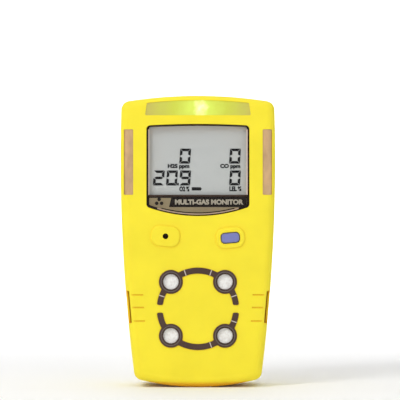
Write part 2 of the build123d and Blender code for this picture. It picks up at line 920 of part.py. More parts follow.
with BuildPart() as motor_shaft:
    with BuildSketch(across(motor_right_x - shaft_inside)):
        with Locations((motor_y, motor_z)):
            Circle(shaft_radius)
    extrude(amount=shaft_length)
write(motor_shaft, "motor_shaft")

with BuildPart() as motor_weight:
    with BuildSketch(across(motor_right_x + weight_gap)):
        with Locations((motor_y, motor_z)):
            Circle(weight_radius)
        with Locations((motor_y, motor_z + weight_radius + weight_cut_z)):
            Rectangle(3 * weight_radius, 2 * weight_radius, mode=Mode.SUBTRACT)
        with Locations((motor_y, motor_z)):
            Circle(weight_hub_radius)
            Circle(shaft_radius, mode=Mode.SUBTRACT)
    extrude(amount=weight_length)
write(motor_weight, "motor_weight")

with BuildPart() as motor_bracket:
    with BuildSketch(across(motor_left_x + bracket_inset)):
        with Locations((motor_y, motor_z)):
            Circle(motor_radius + bracket_sheet)
        with Locations((front_y + main_board_depth - bracket_sheet / 2, motor_z)):
            Rectangle(bracket_sheet, 2 * bracket_foot_half_height)
        with Locations((motor_y, motor_z)):
            Circle(motor_radius, mode=Mode.SUBTRACT)
    extrude(amount=bracket_width)
write(motor_bracket, "motor_bracket")

# Rechargeable battery with its foam pad, leads and plug
with BuildPart() as battery:
    pouch = board_face(battery_half_width, battery_bottom_z, battery_top_z, 2.0)
    add(prism(pouch, battery_front_depth, battery_back_depth))
    fillet(battery.faces().filter_by(Axis.Y).edges(), 1.2)
write(battery, "battery")

with BuildPart() as battery_pad:
    add(prism(board_face(14.0, 20.0, 53.0), battery_back_depth, inner_back_depth))
write(battery_pad, "battery_pad")

with BuildPart() as battery_connector:
    connector_point = [(lead_x, connector_bottom_z + connector_height / 2)]
    front, back = main_board_back_depth, connector_back_depth
    add(blocks(connector_point, connector_width, connector_height, front, back))
write(battery_connector, "battery_connector")

for step, name in ((-0.5, "battery_red_lead"), (0.5, "battery_black_lead")):
    pouch_y = front_y + 23.2
    plug_y = front_y + 21.2
    with BuildPart() as lead:
        with BuildLine(across(lead_x + step * lead_pitch)) as route:
            FilletPolyline(
                (pouch_y, battery_top_z),
                (pouch_y, battery_top_z + 2.2),
                (plug_y, connector_bottom_z - 2.2),
                (plug_y, connector_bottom_z),
                radius=1.8,
            )
        with BuildSketch(Plane.XY.offset(battery_top_z)):
            with Locations((lead_x + step * lead_pitch, pouch_y)):
                Circle(lead_radius)
        sweep(path=route.wire())
    write(lead, name)

# Charging socket, closed at its top end, with its contacts on that end
with BuildPart() as charging_socket:
    with BuildSketch(Plane.XY.offset(socket_bottom_z)):
        with Locations((0, front_y + (socket_front_depth + main_board_depth) / 2)):
            Rectangle(2 * socket_half_width, main_board_depth - socket_front_depth)
    extrude(amount=socket_top_z - socket_bottom_z)
    with BuildSketch(Plane.XY.offset(socket_bottom_z)):
        add(port_face())
    extrude(amount=socket_ceiling_z - socket_bottom_z, mode=Mode.SUBTRACT)
write(charging_socket, "charging_socket")

with BuildPart() as charging_contacts:
    with BuildSketch(Plane.XY.offset(socket_ceiling_z - contact_height)):
        with Locations((0, front_y + port_depth)):
            with GridLocations(contact_pitch, 1, 4, 1):
                Circle(contact_radius)
    extrude(amount=contact_height)
write(charging_contacts, "charging_contacts")

# Data link behind its window
with BuildPart() as infrared_window:
    with BuildSketch(Plane.XY.offset(infrared_window_bottom_z)):
        add(infrared_face())
    extrude(amount=infrared_window_top_z - infrared_window_bottom_z)
write(infrared_window, "infrared_window")

with BuildPart() as infrared_module:
    middle_z = (infrared_module_bottom_z + infrared_module_top_z) / 2
    module_height = infrared_module_top_z - infrared_module_bottom_z
    module_point = [(infrared_x, middle_z)]
    module_front = infrared_module_front_depth
    add(blocks(module_point, infrared_module_width, module_height, module_front, main_board_depth))
    with BuildSketch(Plane.XY.offset(infrared_eye_bottom_z)):
        with Locations((infrared_x, front_y + port_depth)):
            Circle(infrared_eye_radius)
    extrude(amount=infrared_module_bottom_z - infrared_eye_bottom_z + overcut)
write(infrared_module, "infrared_module")

# Alligator clip: a base plate with two ears, the jaw hinged between them, its pin, spring and screws
with BuildPart() as clip_base:
    add(prism(clip_plate_face(), clip_seat_depth, clip_seat_depth + sheet))
    add(clip_ears(clip_half_width - sheet, ear_radius, back_y))
    add(posts(clip_screw_points, screw_hole_radius, clip_seat_depth, case_depth + sheet), mode=Mode.SUBTRACT)
    with BuildSketch(across(-clip_half_width)):
        with Locations((hinge_y, hinge_z)):
            Circle(pin_radius)
    extrude(amount=2 * clip_half_width, mode=Mode.SUBTRACT)
write(clip_base, "clip_base")

with BuildPart() as clip_pin:
    with BuildSketch(across(-clip_half_width)):
        with Locations((hinge_y, hinge_z)):
            Circle(pin_radius)
    extrude(amount=2 * clip_half_width)
    for x in (-clip_half_width - pin_head_height, clip_half_width):
        with BuildSketch(across(x)):
            with Locations((hinge_y, hinge_z)):
                Circle(pin_head_radius)
        extrude(amount=pin_head_height)
write(clip_pin, "clip_pin")

with BuildPart() as clip_jaw:
    with BuildSketch(across(-jaw_half_width)):
        with BuildLine():
            FilletPolyline(
                (back_y + 1.05, 61.8),
                (back_y + 5.6, 63.8),
                (jaw_back_y, 82.0),
                (jaw_back_y, 87.5),
                (back_y + clip_reach - sheet / 2, 107.8),
                radius=jaw_bend_radius,
            )
        trace(line_width=sheet)
    extrude(amount=2 * jaw_half_width)
    rounded = board_face(jaw_half_width, clip_bottom_z - 2 * jaw_corner, jaw_top_z, jaw_corner)
    add(prism(rounded, case_depth, case_depth + clip_reach), mode=Mode.INTERSECT)
    add(clip_ears(jaw_half_width - sheet, ear_radius, jaw_back_y))
    with BuildSketch(across(-jaw_half_width)):
        with Locations((hinge_y, hinge_z)):
            Circle(pin_radius + running_gap)
    extrude(amount=2 * jaw_half_width, mode=Mode.SUBTRACT)
    with BuildSketch(Plane.XY.offset(clip_bottom_z)):
        with Locations((0, back_y + 0.8)):
            with GridLocations(tooth_pitch, 1, tooth_count, 1):
                RegularPolygon(tooth_radius, 3, rotation=90)
    extrude(amount=tooth_top_z - clip_bottom_z, mode=Mode.SUBTRACT)
write(clip_jaw, "clip_jaw")

# Torsion spring on the pin: a coil with two straight legs, one on the base and one behind the thumb lever
start_angle = radians(spring_start_angle)
coil_plane = Plane(
    origin=(-spring_half_length, hinge_y, hinge_z),
    x_dir=(0, cos(start_angle), sin(start_angle)),
    z_dir=(1, 0, 0),
)
coil = coil_plane * Helix(2 * spring_half_length / spring_turns, 2 * spring_half_length, spring_radius)
with BuildPart() as clip_spring:
    with BuildSketch(Plane(origin=coil @ 0, z_dir=coil % 0)):
        Circle(spring_wire_radius)
    sweep(path=coil, is_frenet=True)
    for leg_plane in (Plane(origin=coil @ 0, z_dir=-(coil % 0)), Plane(origin=coil @ 1, z_dir=coil % 1)):
        with BuildSketch(leg_plane):
            Circle(spring_wire_radius)
        extrude(amount=spring_leg)
write(clip_spring, "clip_spring")

with BuildPart() as clip_screws:
    seat = clip_seat_depth + sheet
    add(screws(clip_screw_points, screw_radius, head_radius, seat, clip_screw_length, 1.2, screw_socket))
write(clip_screws, "clip_screws")
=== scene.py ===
"""The looks of the portable gas detector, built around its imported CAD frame. Lengths are in metres."""

import json
from math import cos, pi, radians, sin

import bmesh
import bpy
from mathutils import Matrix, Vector, geometry


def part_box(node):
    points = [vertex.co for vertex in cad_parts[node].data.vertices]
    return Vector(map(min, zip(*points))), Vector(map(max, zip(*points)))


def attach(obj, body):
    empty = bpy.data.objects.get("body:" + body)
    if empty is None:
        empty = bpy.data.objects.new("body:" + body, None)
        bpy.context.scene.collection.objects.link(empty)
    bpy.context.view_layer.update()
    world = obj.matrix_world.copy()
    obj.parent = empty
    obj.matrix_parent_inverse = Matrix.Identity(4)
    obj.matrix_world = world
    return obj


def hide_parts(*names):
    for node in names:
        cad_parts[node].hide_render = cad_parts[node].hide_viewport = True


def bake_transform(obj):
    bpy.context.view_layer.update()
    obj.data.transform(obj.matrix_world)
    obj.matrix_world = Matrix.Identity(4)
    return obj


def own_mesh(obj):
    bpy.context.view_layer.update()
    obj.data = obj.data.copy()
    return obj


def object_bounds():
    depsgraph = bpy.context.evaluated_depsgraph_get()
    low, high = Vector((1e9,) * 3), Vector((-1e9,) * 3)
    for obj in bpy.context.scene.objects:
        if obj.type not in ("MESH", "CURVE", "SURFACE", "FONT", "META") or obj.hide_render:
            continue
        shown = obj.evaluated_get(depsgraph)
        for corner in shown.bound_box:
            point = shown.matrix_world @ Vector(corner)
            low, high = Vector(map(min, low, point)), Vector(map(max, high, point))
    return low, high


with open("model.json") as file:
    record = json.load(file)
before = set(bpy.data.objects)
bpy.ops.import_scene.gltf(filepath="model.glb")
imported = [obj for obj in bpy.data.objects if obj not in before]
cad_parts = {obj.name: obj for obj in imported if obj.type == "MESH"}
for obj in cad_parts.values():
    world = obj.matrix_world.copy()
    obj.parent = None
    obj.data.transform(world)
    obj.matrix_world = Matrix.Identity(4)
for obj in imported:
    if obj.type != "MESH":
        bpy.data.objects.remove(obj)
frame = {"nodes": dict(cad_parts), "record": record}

cad_low, cad_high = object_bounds()

MM = 0.001
PRINT_STEP = 0.03 * MM  # how far each printed layer stands in front of the one behind it
INK_DEPTH = 2 * PRINT_STEP  # how thick a single layer of print is
NOISE_RANGE = (0.3, 0.7)  # most values of a noise texture lie between these
MIX_COLORS = (6, 7)  # the colour inputs of a mix node, which share their names with others
MIX_RESULT = 2  # its colour output


# ---------------------------------------------------------------- shader nodes


def new_material(name, color, roughness, metallic=0.0):
    """A Principled material, and the shader node that its finish is built on."""
    material = bpy.data.materials.new(name)
    material.use_nodes = True
    shader = material.node_tree.nodes["Principled BSDF"]
    shader.inputs["Base Color"].default_value = (*color, 1.0)
    shader.inputs["Roughness"].default_value = roughness
    shader.inputs["Metallic"].default_value = metallic
    return material, shader


def add_node(material, kind, **values):
    """A shader node with the values of its properties or inputs set by name."""
    node = material.node_tree.nodes.new(kind)
    for key, value in values.items():
        if key in node.inputs:
            node.inputs[key].default_value = value
        else:
            setattr(node, key, value)
    return node


def set_inputs(node, values):
    """Sets inputs of a shader node by name."""
    for name, value in values.items():
        node.inputs[name].default_value = value


def link(material, source, target):
    material.node_tree.links.new(source, target)


def map_range(material, value, from_range, to_range, **settings):
    """Maps a value from one range to another."""
    node = add_node(material, "ShaderNodeMapRange", **settings)
    set_inputs(node, dict(zip(("From Min", "From Max", "To Min", "To Max"), (*from_range, *to_range))))
    link(material, value, node.inputs["Value"])
    return node.outputs["Result"]


def add_up(material, first, second):
    """The sum of two values."""
    node = add_node(material, "ShaderNodeMath", operation="ADD")
    link(material, first, node.inputs[0])
    link(material, second, node.inputs[1])
    return node.outputs["Value"]


def place(material, stretch=(1.0, 1.0, 1.0)):
    """Object coordinates, stretched along the axes."""
    where = add_node(material, "ShaderNodeTexCoord")
    scaled = add_node(material, "ShaderNodeMapping", Scale=stretch)
    link(material, where.outputs["Object"], scaled.inputs["Vector"])
    return scaled.outputs["Vector"]


def noise(material, size, detail=3.0, stretch=(1.0, 1.0, 1.0)):
    """Noise whose grains are about this size in metres."""
    node = add_node(material, "ShaderNodeTexNoise", Scale=1 / size, Detail=detail)
    link(material, place(material, stretch), node.inputs["Vector"])
    return node.outputs["Fac"]


def ramp(material, value, stops):
    """Maps a value from 0 to 1 to colours, given as (position, colour) pairs."""
    node = add_node(material, "ShaderNodeValToRGB")
    elements = node.color_ramp.elements
    while len(elements) < len(stops):
        elements.new(0.5)
    for element, (position, color) in zip(elements, stops):
        element.position = position
        element.color = (*color, 1.0)
    link(material, value, node.inputs["Fac"])
    return node.outputs["Color"]


def spread(material, value, low, high):
    """Maps noise around its middle to the range from low to high."""
    return map_range(material, value, NOISE_RANGE, (low, high))


def tint(material, shader, color, amount, size, stretch=(1.0, 1.0, 1.0)):
    """Varies the base colour by this share, lighter and darker, in patches of this size."""
    darker = [c * (1 - amount) for c in color]
    lighter = [min(1.0, c * (1 + amount)) for c in color]
    stops = list(zip(NOISE_RANGE, (darker, lighter)))
    colors = ramp(material, noise(material, size, 4.0, stretch), stops)
    link(material, colors, shader.inputs["Base Color"])


def vary_roughness(material, shader, low, high, size):
    link(material, spread(material, noise(material, size), low, high), shader.inputs["Roughness"])


def bump(material, shader, value, height):
    """A bump of this height in metres from a value between 0 and 1."""
    node = add_node(material, "ShaderNodeBump", Strength=1.0, Distance=height)
    link(material, value, node.inputs["Height"])
    link(material, node.outputs["Normal"], shader.inputs["Normal"])


def moulded(name, color, roughness, grain, height, patches=0.03, specular=0.5):
    """Moulded plastic or rubber: slight patches of colour, uneven gloss and a fine spark-eroded grain."""
    swing = 0.06
    material, shader = new_material(name, color, roughness)
    shader.inputs["Specular IOR Level"].default_value = specular
    tint(material, shader, color, patches, size=12 * MM)
    vary_roughness(material, shader, roughness - swing, roughness + swing, size=3 * MM)
    bump(material, shader, noise(material, grain, 2.0), height)
    return material


def printed(name, color):
    """Ink, and painted highlights made the same way: nearly flat, with hardly any shine of its own."""
    return moulded(name, color, 0.4, 0.2 * MM, 0.002 * MM, patches=0.06, specular=0.1)


def brushed(name, color, roughness, stretch):
    """Brushed metal: long fine scratches along one axis."""
    material, shader = new_material(name, color, roughness, 1.0)
    scratches = noise(material, 0.12 * MM, 3.0, stretch)
    tint(material, shader, color, 0.08, 1.5 * MM, stretch)
    link(material, spread(material, scratches, roughness - 0.1, roughness + 0.12), shader.inputs["Roughness"])
    bump(material, shader, scratches, 0.004 * MM)
    return material


# ---------------------------------------------------------------- materials, one for each slot of the record


def yellow_rubber():
    """The soft yellow skin: fine grain, faint large patches and a painted shade of deeper orange in its
    creases.
    """
    yellow = (0.92, 0.77, 0.040)
    orange = (0.80, 0.42, 0.012)
    crease_width = 2.6 * MM
    material = moulded("yellow_rubber", yellow, 0.48, 0.28 * MM, 0.012 * MM, patches=0.035, specular=0.15)
    shader = material.node_tree.nodes["Principled BSDF"]
    patches = shader.inputs["Base Color"].links[0].from_socket
    # Painted shade: the base colour turns deeper orange where ambient occlusion finds creases and the feet of
    # raised parts.
    openness = add_node(material, "ShaderNodeAmbientOcclusion", samples=8, Distance=crease_width)
    depth = ramp(material, openness.outputs["AO"], [(0.50, (0.0, 0.0, 0.0)), (0.98, (1.0, 1.0, 1.0))])
    blend = add_node(material, "ShaderNodeMix", data_type="RGBA")
    link(material, depth, blend.inputs["Factor"])
    blend.inputs[MIX_COLORS[0]].default_value = (*orange, 1.0)
    link(material, patches, blend.inputs[MIX_COLORS[1]])
    link(material, blend.outputs[MIX_RESULT], shader.inputs["Base Color"])
    set_inputs(
        shader,
        {"Subsurface Weight": 0.08, "Subsurface Radius": (1.0, 0.7, 0.1), "Subsurface Scale": 0.8 * MM},
    )
    return material


def frosted_lens():
    """A tan frosted light window with a cloudy body."""
    tan = (0.58, 0.375, 0.19)
    material, shader = new_material("frosted_lens", tan, 0.32)
    tint(material, shader, tan, 0.14, 2.2 * MM, (1.0, 1.0, 0.4))
    bump(material, shader, noise(material, 0.35 * MM, 2.0), 0.01 * MM)
    set_inputs(
        shader,
        {"Subsurface Weight": 0.35, "Subsurface Radius": (1.0, 0.7, 0.5), "Subsurface Scale": 1.5 * MM},
    )
    set_inputs(shader, {"Coat Weight": 0.4, "Coat Roughness": 0.12})
    return material


def lit_lens():
    """The top light window with its alarm light on, painted on the lens as a glow: bright at the light and
    olive at the ends.
    """
    light_x, light_z = 0.9 * MM, 108.4 * MM
    flattening = 0.8  # the glow reaches a little further up and down than sideways
    material, shader = new_material("lit_lens", (0.45, 0.47, 0.12), 0.3)
    low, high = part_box("top_light_window")
    where = add_node(material, "ShaderNodeTexCoord")
    shifted = add_node(material, "ShaderNodeVectorMath", operation="SUBTRACT")
    shifted.inputs[1].default_value = (light_x, low.y, light_z)
    link(material, where.outputs["Object"], shifted.inputs[0])
    scaled = add_node(material, "ShaderNodeVectorMath", operation="MULTIPLY")
    half_width = (high.x - low.x) / 2
    scaled.inputs[1].default_value = (1 / half_width, 0.0, flattening / half_width)
    link(material, shifted.outputs["Vector"], scaled.inputs[0])
    length = add_node(material, "ShaderNodeVectorMath", operation="LENGTH")
    link(material, scaled.outputs["Vector"], length.inputs[0])
    cloud = spread(material, noise(material, 2.5 * MM, 4.0), -0.05, 0.05)
    away = add_up(material, length.outputs["Value"], cloud)
    # Painted light: the lens glows brightest at the alarm light and fades towards its ends.
    glow_stops = [
        (0.0, (1.0, 1.0, 0.9)),
        (0.06, (0.90, 1.0, 0.40)),
        (0.16, (0.50, 0.60, 0.04)),
        (0.55, (0.42, 0.47, 0.04)),
        (1.0, (0.30, 0.29, 0.06)),
    ]
    link(material, ramp(material, away, glow_stops), shader.inputs["Emission Color"])
    shader.inputs["Emission Strength"].default_value = 0.75
    # Painted light: the base colour is greener near the alarm light and olive towards the ends.
    painted_light_stops = [(0.0, (0.42, 0.52, 0.10)), (0.5, (0.32, 0.33, 0.03)), (1.0, (0.36, 0.30, 0.05))]
    link(material, ramp(material, away, painted_light_stops), shader.inputs["Base Color"])
    bump(material, shader, noise(material, 0.35 * MM, 2.0), 0.01 * MM)
    set_inputs(shader, {"Coat Weight": 0.3, "Coat Roughness": 0.15})
    return material


def clear_window():
    """The clear display window, which mirrors the room more when seen at a slant and has faint wipe marks."""
    material, shader = new_material("clear_window", (0.86, 0.88, 0.88), 0.05, 1.0)
    slant = add_node(material, "ShaderNodeLayerWeight", Blend=0.5)
    facing = slant.outputs["Facing"]
    mirror = map_range(material, facing, (0.1, 1.0), (0.015, 0.6), interpolation_type="SMOOTHSTEP")
    link(material, mirror, shader.inputs["Alpha"])
    vary_roughness(material, shader, 0.03, 0.12, 9 * MM)
    bump(material, shader, noise(material, 6 * MM, 2.0), 0.003 * MM)
    return material


def lcd():
    """The grey display glass: a painted shade makes it slightly darker towards the top, over a faint
    reflector grain.
    """
    material, shader = new_material("lcd", (0.46, 0.48, 0.45), 0.35)
    where = add_node(material, "ShaderNodeTexCoord")
    parts = add_node(material, "ShaderNodeSeparateXYZ")
    link(material, where.outputs["Object"], parts.inputs["Vector"])
    low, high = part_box("lcd_glass")
    height = map_range(material, parts.outputs["Z"], (low.z, high.z), (0.0, 1.0))
    grain = spread(material, noise(material, 0.25 * MM, 2.0), -0.06, 0.06)
    # Painted shade: the colour darkens from the bottom of the glass to its top.
    stops = [(0.0, (0.605, 0.625, 0.605)), (1.0, (0.57, 0.59, 0.58))]
    link(material, ramp(material, add_up(material, height, grain), stops), shader.inputs["Base Color"])
    set_inputs(shader, {"Coat Weight": 0.2, "Coat Roughness": 0.1})
    return material


def dark_trim():
    return moulded("dark_trim", (0.072, 0.040, 0.031), 0.45, 0.3 * MM, 0.008 * MM, 0.12, specular=0.25)


def button_blue():
    return moulded("button_blue", (0.175, 0.19, 0.45), 0.45, 0.25 * MM, 0.008 * MM, 0.06)


def white_filter():
    """A white porous membrane: a fine felt of lighter and darker fibres."""
    white = (0.93, 0.89, 0.85)
    material, shader = new_material("white_filter", white, 0.85)
    tint(material, shader, white, 0.14, 0.8 * MM)
    bump(material, shader, noise(material, 0.25 * MM, 5.0), 0.06 * MM)
    shader.inputs["Sheen Weight"].default_value = 0.15
    return material


def circuit_board():
    """Green solder resist with paler tracks showing through it, over a fine glass weave."""
    green = (0.012, 0.14, 0.05)
    material, shader = new_material("circuit_board", green, 0.35)
    cells = add_node(material, "ShaderNodeTexVoronoi", feature="DISTANCE_TO_EDGE", Scale=1 / (2.4 * MM))
    cells.inputs["Randomness"].default_value = 0.35
    link(material, place(material), cells.inputs["Vector"])
    edges = ramp(material, cells.outputs["Distance"], [(0.05, (0.03, 0.27, 0.10)), (0.09, green)])
    link(material, edges, shader.inputs["Base Color"])
    bump(material, shader, noise(material, 0.2 * MM, 2.0, (1.0, 1.0, 2.0)), 0.006 * MM)
    shader.inputs["Coat Weight"].default_value = 0.3
    return material


def foil():
    """The crinkled aluminium pouch of the battery."""
    silver = (0.66, 0.67, 0.68)
    material, shader = new_material("foil", silver, 0.35, 0.9)
    tint(material, shader, silver, 0.08, 3 * MM)
    vary_roughness(material, shader, 0.25, 0.45, 1.2 * MM)
    bump(material, shader, noise(material, 1.6 * MM, 3.0), 0.03 * MM)
    return material


def led():
    """A lamp of pale glossy resin with a faint green glow."""
    resin = (0.92, 0.90, 0.55)
    material, shader = new_material("led", resin, 0.2)
    tint(material, shader, resin, 0.05, 0.6 * MM)
    bump(material, shader, noise(material, 0.3 * MM), 0.004 * MM)
    glow = {"Emission Color": (0.8, 1.0, 0.2, 1.0), "Emission Strength": 0.4}
    set_inputs(shader, {"Coat Weight": 0.8, **glow})
    return material


def label():
    """A blank satin label with a faint print grain."""
    paper = (0.70, 0.70, 0.68)
    material, shader = new_material("label", paper, 0.4)
    tint(material, shader, paper, 0.03, 4 * MM)
    bump(material, shader, noise(material, 0.15 * MM), 0.003 * MM)
    return material


def foam():
    return moulded("foam", (0.035, 0.035, 0.035), 0.9, 0.3 * MM, 0.08 * MM, 0.2)


MAKERS = {
    "yellow_rubber": yellow_rubber,
    "frosted_lens": frosted_lens,
    "clear_window": clear_window,
    "border_print": lambda: printed("border_print", (0.010, 0.006, 0.004)),
    "lcd": lcd,
    "white_plastic": lambda: moulded("white_plastic", (0.78, 0.77, 0.74), 0.45, 0.3 * MM, 0.008 * MM),
    "black_plastic": lambda: moulded("black_plastic", (0.022, 0.022, 0.023), 0.4, 0.3 * MM, 0.01 * MM, 0.1),
    "dark_trim": dark_trim,
    "button_blue": button_blue,
    "grey_rubber": lambda: moulded("grey_rubber", (0.08, 0.08, 0.08), 0.6, 0.35 * MM, 0.02 * MM, 0.08),
    "white_filter": white_filter,
    "foam": foam,
    "circuit_board": circuit_board,
    "sensor_shell": lambda: moulded("sensor_shell", (0.60, 0.60, 0.57), 0.45, 0.4 * MM, 0.012 * MM, 0.05),
    "steel": lambda: brushed("steel", (0.56, 0.56, 0.55), 0.3, (1.0, 1.0, 0.05)),
    "screw_steel": lambda: brushed("screw_steel", (0.32, 0.32, 0.32), 0.35, (0.5, 1.0, 0.5)),
    "brass": lambda: brushed("brass", (0.72, 0.50, 0.18), 0.3, (0.3, 1.0, 0.3)),
    "gold": lambda: brushed("gold", (0.95, 0.68, 0.28), 0.22, (0.5, 1.0, 0.5)),
    "nickel": lambda: brushed("nickel", (0.60, 0.60, 0.57), 0.25, (0.2, 1.0, 1.0)),
    "foil": foil,
    "led": led,
    "red_wire": lambda: moulded("red_wire", (0.50, 0.015, 0.015), 0.4, 0.4 * MM, 0.005 * MM, 0.06),
    "black_wire": lambda: moulded("black_wire", (0.015, 0.015, 0.015), 0.4, 0.4 * MM, 0.005 * MM, 0.1),
    "infrared_lens": lambda: moulded("infrared_lens", (0.035, 0.006, 0.012), 0.12, 2 * MM, 0.002 * MM, 0.1),
    "label": label,
}
materials = {name: make() for name, make in MAKERS.items()}
materials["lit_lens"] = lit_lens()
# Flat print colours; two of them are painted highlights, the pale lines at the sides of the display and the
# lighter rings round the ports.
for print_and_highlight, color in {
    "tan_print": (0.29, 0.235, 0.14),
    "edge_highlight_paint": (0.80, 0.70, 0.66),
    "lip_print": (0.52, 0.40, 0.29),
    "maroon_print": (0.10, 0.055, 0.035),
    "pale_print": (0.42, 0.38, 0.30),
    "segment_ink": (0.003, 0.003, 0.004),
    "tick_print": (0.62, 0.55, 0.50),
    "label_ink": (0.30, 0.31, 0.32),
    "ring_highlight_paint": (0.16, 0.135, 0.125),
}.items():
    materials[print_and_highlight] = printed(print_and_highlight, color)


def dress_frame():
    """Gives each CAD node the material of its slot, and the top light window its lit one."""
    for entry in frame["record"]["subparts"]:
        mesh = frame["nodes"][entry["node"]].data
        mesh.materials.clear()
        mesh.materials.append(materials[entry["material_slot"]])
    frame["nodes"]["top_light_window"].data.materials[0] = materials["lit_lens"]


# ---------------------------------------------------------------- pieces built here


def add_piece(name, mesh, material, body="case"):
    """A piece made from a mesh, on a body, with the material of this name."""
    piece = bpy.data.objects.new(name, mesh)
    bpy.context.scene.collection.objects.link(piece)
    mesh.materials.append(materials[material])
    if body:
        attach(piece, body)
    return piece


def shaped_piece(name, shape, material):
    """A piece made from a finished bmesh shape, which is freed."""
    bmesh.ops.recalc_face_normals(shape, faces=shape.faces)
    mesh = bpy.data.meshes.new(name)
    shape.to_mesh(mesh)
    shape.free()
    return add_piece(name, mesh, material)


def plate(name, outlines, y, thickness, material):
    """Thin plates with their front at y, one for each outline of (x, z) points seen from the front."""
    shape = bmesh.new()
    for outline in outlines:
        front = [shape.verts.new((x, y, z)) for x, z in outline]
        back = [shape.verts.new((x, y + thickness, z)) for x, z in outline]
        shape.faces.new(front)
        shape.faces.new(back[::-1])
        for i in range(len(outline)):
            j = (i + 1) % len(outline)
            shape.faces.new((front[j], front[i], back[i], back[j]))
    return shaped_piece(name, shape, material)


def band(name, outer, inner, y, thickness, material, closed=True):
    """A thin flat band between two lines with the same number of points."""
    shape = bmesh.new()
    rows = [
        [shape.verts.new((x, depth, z)) for x, z in line]
        for depth in (y, y + thickness)
        for line in (outer, inner)
    ]
    front_outer, front_inner, back_outer, back_inner = rows
    count = len(outer)
    for i in range(count if closed else count - 1):
        j = (i + 1) % count
        shape.faces.new((front_outer[i], front_outer[j], front_inner[j], front_inner[i]))
        shape.faces.new((back_outer[j], back_outer[i], back_inner[i], back_inner[j]))
        shape.faces.new((front_outer[j], front_outer[i], back_outer[i], back_outer[j]))
        shape.faces.new((front_inner[i], front_inner[j], back_inner[j], back_inner[i]))
    if not closed:
        for i in (0, count - 1):
            shape.faces.new((front_outer[i], front_inner[i], back_inner[i], back_outer[i]))
    return shaped_piece(name, shape, material)


FACE_DEPTH = 0.01 * MM  # points this close behind the front of a node belong to its front face
POINT_SPACING = 0.02 * MM  # points of an outline that are closer than this become one
MITRE_LIMIT = 0.3  # keeps the corners of a moved outline from shooting out


def front_outline(node):
    """The outer outline of a convex CAD node's front face, as (x, z) points in order."""
    face_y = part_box(node)[0].y + FACE_DEPTH
    points = [Vector((v.co.x, v.co.z)) for v in frame["nodes"][node].data.vertices if v.co.y < face_y]
    order = geometry.convex_hull_2d(points)
    hull = [points[i] for i in order]
    spaced = [p for p, q in zip(hull, hull[1:] + hull[:1]) if (p - q).length > POINT_SPACING]
    return [(p.x, p.y) for p in spaced]


def inset(outline, distance):
    """The outline moved inwards by a distance. It goes anticlockwise."""
    moved = []
    count = len(outline)
    for i in range(count):
        before, here, after = Vector(outline[i - 1]), Vector(outline[i]), Vector(outline[(i + 1) % count])
        first, second = (here - before).normalized(), (after - here).normalized()
        normals = [Vector((-side.y, side.x)) for side in (first, second)]
        middle = (normals[0] + normals[1]).normalized()
        point = here + middle * (distance / max(MITRE_LIMIT, middle.dot(normals[0])))
        moved.append((point.x, point.y))
    return moved


def below(outline, top):
    """The part of a convex outline under a height."""
    kept = []
    for (x0, z0), (x1, z1) in zip(outline, outline[1:] + outline[:1]):
        if z0 <= top:
            kept.append((x0, z0))
        if (z0 - top) * (z1 - top) < 0:
            kept.append((x0 + (x1 - x0) * (top - z0) / (z1 - z0), top))
    return kept


def box_outline(left, right, bottom, top):
    """The outline of an upright rectangle."""
    return [(left, bottom), (right, bottom), (right, top), (left, top)]


def disc(x, z, radius, steps=32):
    """The outline of a disc."""
    angles = [2 * pi * i / steps for i in range(steps)]
    return [(x + radius * cos(angle), z + radius * sin(angle)) for angle in angles]


LETTER_BOLDNESS = 0.055  # how far letters are thickened, as a share of their size
LETTER_DEPTH = 0.5  # how far letters reach in front of and behind their middle, in print steps


def lettering(name, words, left, right, bottom, top, y, material, slot):
    """Plain generic lettering, stretched to fill a box and facing forwards."""
    curve = bpy.data.curves.new(name, "FONT")
    curve.body = words
    curve.extrude = LETTER_DEPTH
    curve.offset = LETTER_BOLDNESS
    curve.resolution_u = 4
    carrier = bpy.data.objects.new(name + "_text", curve)
    bpy.context.scene.collection.objects.link(carrier)
    bpy.context.view_layer.update()
    mesh = bpy.data.meshes.new_from_object(carrier.evaluated_get(bpy.context.evaluated_depsgraph_get()))
    bpy.data.objects.remove(carrier)
    xs = [v.co.x for v in mesh.vertices]
    ys = [v.co.y for v in mesh.vertices]
    x_scale = (right - left) / (max(xs) - min(xs))
    z_scale = (top - bottom) / (max(ys) - min(ys))
    for v in mesh.vertices:
        x = left + (v.co.x - min(xs)) * x_scale
        z = bottom + (v.co.y - min(ys)) * z_scale
        v.co = (x, y - v.co.z * PRINT_STEP, z)
    mesh.name = name
    mesh.materials.clear()
    return add_piece(name, mesh, material)


# ---------------------------------------------------------------- the display


READING_RISE = 4 * PRINT_STEP  # how far the readings stand in front of the display glass
DIGIT_WIDTH = 4.2 * MM
DIGIT_HEIGHT = 5.8 * MM
DIGIT_PITCH = 5.1 * MM
DIGIT_LEAN = 0.07  # how far a digit leans to the right, as a share of its height
STROKE = 0.98 * MM
STROKE_GAP = 0.10 * MM
POINT_WIDTH = 0.55 * MM
SEGMENTS = {"0": "abcdef", "2": "abged", "9": "abcdfg"}

# Places on the display: heights are over the bottom of its glass, and a column ends with its last digit
UPPER_ROW = 16.1 * MM
LOWER_ROW = 7.65 * MM
LEFT_COLUMN_END = -2.65 * MM
RIGHT_COLUMN_END = 16.65 * MM
LABELS = (  # name, words, and left, right, bottom and top in millimetres
    ("label_hydrogen_sulphide", "H2S ppm", -11.7, -3.3, 13.9, 16.0),
    ("label_carbon_monoxide", "CO ppm", 8.6, 16.4, 13.9, 16.0),
    ("label_oxygen", "O2 %", -7.2, -3.3, 5.3, 7.3),
    ("label_flammable", "LEL %", 12.2, 16.8, 5.4, 7.3),
)
BATTERY_LEFT = -2.4 * MM
BATTERY_RIGHT = 1.5 * MM
BATTERY_BOTTOM = 5.7 * MM
BATTERY_TOP = 6.95 * MM
BATTERY_TIP = 0.45 * MM


